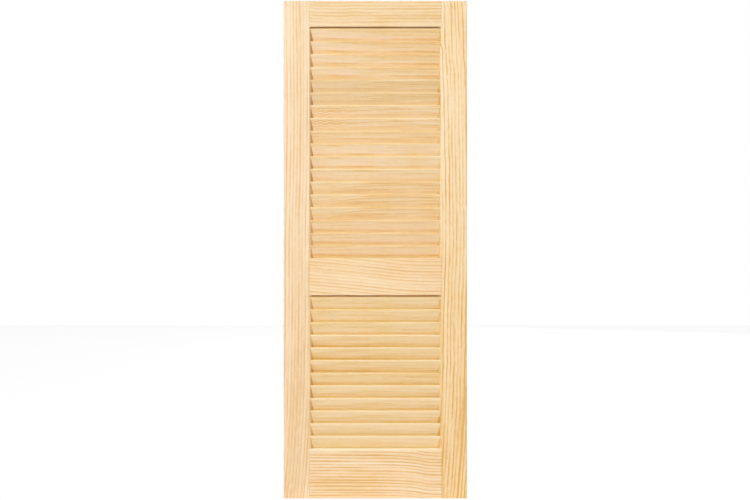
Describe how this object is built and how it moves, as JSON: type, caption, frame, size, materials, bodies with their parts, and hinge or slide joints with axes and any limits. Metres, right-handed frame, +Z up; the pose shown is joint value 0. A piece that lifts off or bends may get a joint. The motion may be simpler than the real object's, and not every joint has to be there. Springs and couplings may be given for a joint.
{
  "type": "louvred door",
  "caption": "Pine louvred wardrobe door: a dowelled stile-and-rail frame with an upper and a lower bank of fixed sloping slats, sold as a bare leaf without hardware.",
  "frame": {"origin": "under the middle of the door's bottom edge, halfway through its thickness", "axes": "+Z up along the stiles, +X across the door to the right as seen from the front, +Y from the front to the back"},
  "size_m": [0.444, 0.028, 1.205],
  "materials": {
    "pine_stile": "sanded, unfinished clear pine, straight grain along the stile",
    "pine_rail": "sanded, unfinished clear pine, grain along the rail",
    "pine_slat": "sanded, unfinished clear pine, grain along the slat",
    "beech_dowel": "fluted beech, glued in"
  },
  "bodies": {
    "root": {"left_stile": "pine_stile", "right_stile": "pine_stile", "top_rail": "pine_rail", "mid_rail": "pine_rail", "bottom_rail": "pine_rail", "top_rail_dowel_left_1": "beech_dowel", "top_rail_dowel_left_2": "beech_dowel", "top_rail_dowel_right_1": "beech_dowel", "top_rail_dowel_right_2": "beech_dowel", "mid_rail_dowel_left_1": "beech_dowel", "mid_rail_dowel_left_2": "beech_dowel", "mid_rail_dowel_right_1": "beech_dowel", "mid_rail_dowel_right_2": "beech_dowel", "bottom_rail_dowel_left_1": "beech_dowel", "bottom_rail_dowel_left_2": "beech_dowel", "bottom_rail_dowel_left_3": "beech_dowel", "bottom_rail_dowel_right_1": "beech_dowel", "bottom_rail_dowel_right_2": "beech_dowel", "bottom_rail_dowel_right_3": "beech_dowel", "upper_slat_01": "pine_slat", "upper_slat_02": "pine_slat", "upper_slat_03": "pine_slat", "upper_slat_04": "pine_slat", "upper_slat_05": "pine_slat", "upper_slat_06": "pine_slat", "upper_slat_07": "pine_slat", "upper_slat_08": "pine_slat", "upper_slat_09": "pine_slat", "upper_slat_10": "pine_slat", "upper_slat_11": "pine_slat", "upper_slat_12": "pine_slat", "upper_slat_13": "pine_slat", "upper_slat_14": "pine_slat", "upper_slat_15": "pine_slat", "upper_slat_16": "pine_slat", "upper_slat_17": "pine_slat", "upper_slat_18": "pine_slat", "lower_slat_01": "pine_slat", "lower_slat_02": "pine_slat", "lower_slat_03": "pine_slat", "lower_slat_04": "pine_slat", "lower_slat_05": "pine_slat", "lower_slat_06": "pine_slat", "lower_slat_07": "pine_slat", "lower_slat_08": "pine_slat", "lower_slat_09": "pine_slat", "lower_slat_10": "pine_slat", "lower_slat_11": "pine_slat", "lower_slat_12": "pine_slat"}
  },
  "joints": []
}
